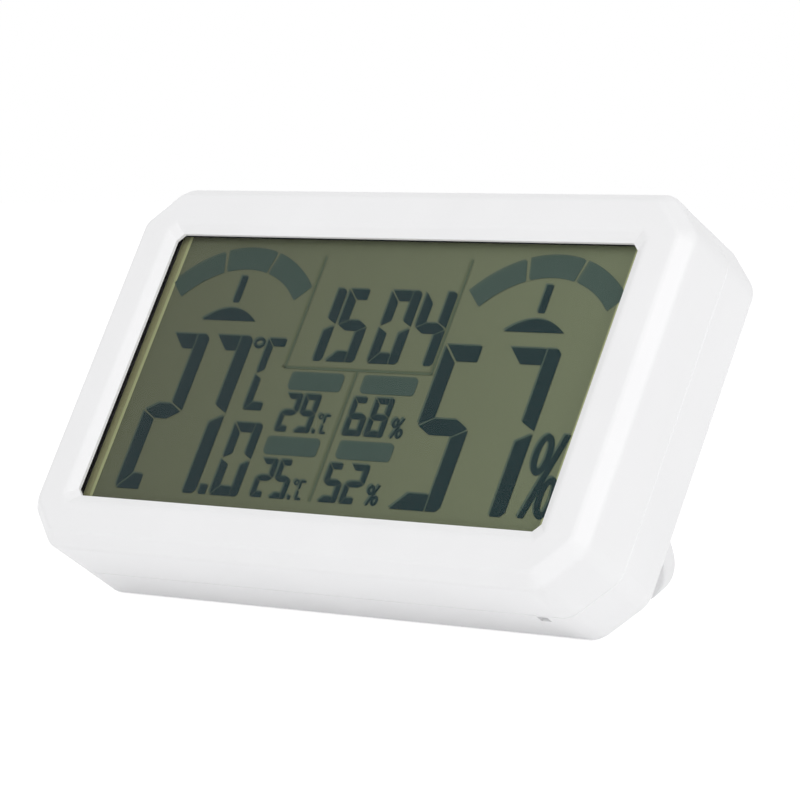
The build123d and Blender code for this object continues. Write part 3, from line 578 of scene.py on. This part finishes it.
# %% [markdown]
# The device stands on a pale floor under a plain white sky. The floor is a large sheet that keeps
# the device's shadow: some of its white is its own, for the camera and for reflections, so that
# it joins the white of the sky without a line. A little of it lights the underside too, as the
# lit table of a photographer's light tent does.

# %% Floor and sky
table_light = 0.13
table_white = 0.6
sky_light = 0.68
sky_white = 1.0


def seen_or_lighting(tree, lighting, seen):
    """A strength: seen for rays from the camera, from gloss and through glass, else lighting."""
    path = add(tree, "ShaderNodeLightPath")
    direct = add(tree, "ShaderNodeMath", {"operation": "MAXIMUM"}, links={
        0: (path, "Is Camera Ray"), 1: (path, "Is Glossy Ray")})
    either = add(tree, "ShaderNodeMath", {"operation": "MAXIMUM"}, links={
        0: (direct, "Value"), 1: (path, "Is Transmission Ray")})
    return add(tree, "ShaderNodeMapRange", values={"To Min": lighting, "To Max": seen},
               links={"Value": (either, "Value")})


floor_half, floor_lines = 3.0, 9
line = np.linspace(-floor_half, floor_half, floor_lines)
grid_x, grid_y = np.meshgrid(line, line)
just_below = -0.0001
points = np.stack([grid_x.ravel(), grid_y.ravel(), np.full(grid_x.size, just_below)], axis=1)
numbers = np.arange(floor_lines ** 2).reshape(floor_lines, floor_lines)
quads = np.stack([numbers[:-1, :-1], numbers[:-1, 1:], numbers[1:, 1:], numbers[1:, :-1]], axis=-1)
floor_mesh = bpy.data.meshes.new("floor")
floor_mesh.from_pydata(points.tolist(), [], quads.reshape(-1, 4).tolist())
floor = bpy.data.objects.new("floor", floor_mesh)
bpy.context.scene.collection.objects.link(floor)
paper, tree = new_material("white_paper_floor")
matt = add(tree, "ShaderNodeBsdfDiffuse", values={"Color": linear("#F2F2F2")})
own_white = add(tree, "ShaderNodeEmission", links={
    "Strength": (seen_or_lighting(tree, table_light, table_white), "Result")})
both = add(tree, "ShaderNodeAddShader", links={0: (matt, "BSDF"), 1: (own_white, "Emission")})
add(tree, "ShaderNodeOutputMaterial", links={"Surface": (both, "Shader")})
floor_mesh.materials.append(paper)

sky = bpy.data.worlds.new("sky")
bpy.context.scene.world = sky
sky.use_nodes = True
tree = sky.node_tree
tree.nodes.clear()
glow = add(tree, "ShaderNodeBackground", values={"Color": linear("#FFFFFF")}, links={
    "Strength": (seen_or_lighting(tree, sky_light, sky_white), "Result")})
add(tree, "ShaderNodeOutputWorld", links={"Surface": (glow, "Background")})
print("floor", 2 * floor_half, "m wide, sky light", sky_light)

# %% [markdown]
# Two large soft lamps stand in for studio soft boxes. One is to the right, because the right
# bevel is the brightest edge, and one is in front and above, because the face is bright and the
# underside is the darkest.

# %% Lamps
aimed_at = Vector((0.0, 0.0, 0.035))


def soft_box(name, place, size, power):
    """A square lamp at a place, turned to look at the device."""
    lamp = bpy.data.lights.new(name, "AREA")
    lamp.size = size
    lamp.energy = power
    holder = bpy.data.objects.new(name, lamp)
    holder.location = place
    holder.rotation_mode = "QUATERNION"
    holder.rotation_quaternion = (aimed_at - Vector(place)).to_track_quat("-Z", "Y")
    bpy.context.scene.collection.objects.link(holder)
    print(name, place, power, "W")


soft_box("right_soft_box", (1.2, -0.45, 0.7), 0.8, 4.0)
soft_box("front_soft_box", (0.15, -1.5, 1.0), 1.0, 4.1)
